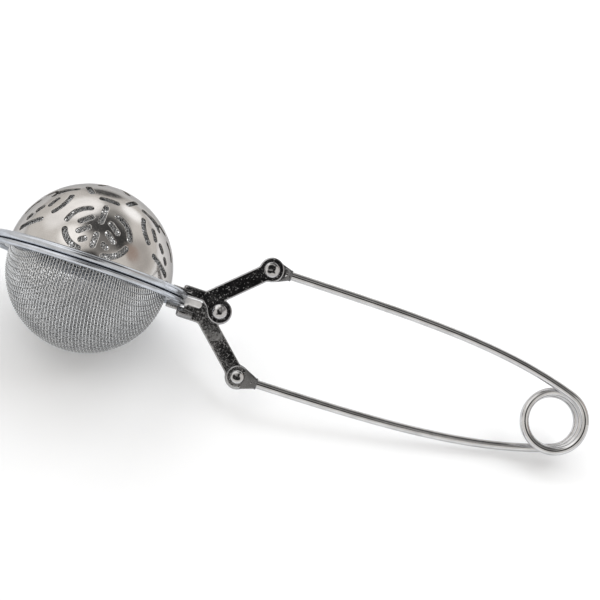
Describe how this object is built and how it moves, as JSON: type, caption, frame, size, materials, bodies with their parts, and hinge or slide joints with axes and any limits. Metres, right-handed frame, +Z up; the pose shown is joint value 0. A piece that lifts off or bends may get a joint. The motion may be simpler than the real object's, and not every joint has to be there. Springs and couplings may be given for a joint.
{
  "type": "tea infuser",
  "caption": "Handled snap-ball tea infuser: a slotted dome and a woven mesh bowl on two riveted levers, sprung shut by a coiled wire handle.",
  "frame": {"origin": "middle of the object's footprint on the surface it lies on; it rests on the mesh bowl, the lower rim and the spring coil", "axes": "+X along the handle from the ball to the spring coil, +Z up from the table; the pivot pins point up and towards -Y, and the dome's pole points up and towards +Y"},
  "size_m": [0.173, 0.0468, 0.0464],
  "materials": {
    "dome_steel": "polished pressed stainless sheet with a warm cast",
    "mesh_steel": "fine plain-woven stainless wire mesh",
    "rim_steel": "bright rolled edge with fine turning lines",
    "lever_nickel": "nickel-plated stamped steel, mirror bright with fine pitting",
    "rivet_nickel": "bright domed heads",
    "wire_steel": "bright drawn spring wire"
  },
  "bodies": {
    "coil": {"spring_coil": "wire_steel"},
    "upper_leg": {"upper_leg_wire": "wire_steel", "upper_wire_socket": "lever_nickel"},
    "lower_leg": {"lower_leg_wire": "wire_steel", "lower_wire_socket": "lever_nickel"},
    "upper_jaw": {"upper_lever": "lever_nickel", "upper_rear_rivet": "rivet_nickel", "upper_rim": "rim_steel", "dome_shell": "dome_steel", "dome_mesh_liner": "mesh_steel"},
    "lower_jaw": {"lower_lever": "lever_nickel", "lower_rear_rivet": "rivet_nickel", "centre_rivet": "rivet_nickel", "rim_tongue": "rim_steel", "lower_rim": "rim_steel", "mesh_bowl": "mesh_steel"}
  },
  "joints": [
    {"name": "upper_leg_flex", "type": "hinge", "parent": "coil", "child": "upper_leg", "pos_m": [0.07665, -0.0002, 0.01026], "axis": [0.0746, -0.6093, 0.7895], "range_deg": [0, 4.52], "stiffness_Nm_per_rad": 2.5, "springref_deg": -3.44},
    {"name": "lower_leg_flex", "type": "hinge", "parent": "coil", "child": "lower_leg", "pos_m": [0.07665, -0.0002, 0.01026], "axis": [-0.0746, 0.6093, -0.7895], "range_deg": [0, 4.52], "stiffness_Nm_per_rad": 2.5, "springref_deg": -3.44},
    {"name": "upper_rear_pivot", "type": "hinge", "parent": "upper_leg", "child": "upper_jaw", "pos_m": [-0.00967, 0.01217, 0.02796], "axis": [-0.0746, 0.6093, -0.7895], "range_deg": [0, 34.5]},
    {"name": "lower_rear_pivot", "type": "hinge", "parent": "lower_leg", "child": "lower_jaw", "pos_m": [-0.01146, -0.01257, 0.00904], "axis": [0.0746, -0.6093, 0.7895], "range_deg": [0, 34.5]}
  ],
  "couplings": [
    {"joint": "lower_rear_pivot", "follows": "upper_rear_pivot", "ratio": 1},
    {"joint": "upper_leg_flex", "follows": "upper_rear_pivot", "ratio": 0.13081},
    {"joint": "lower_leg_flex", "follows": "upper_rear_pivot", "ratio": 0.13081}
  ]
}
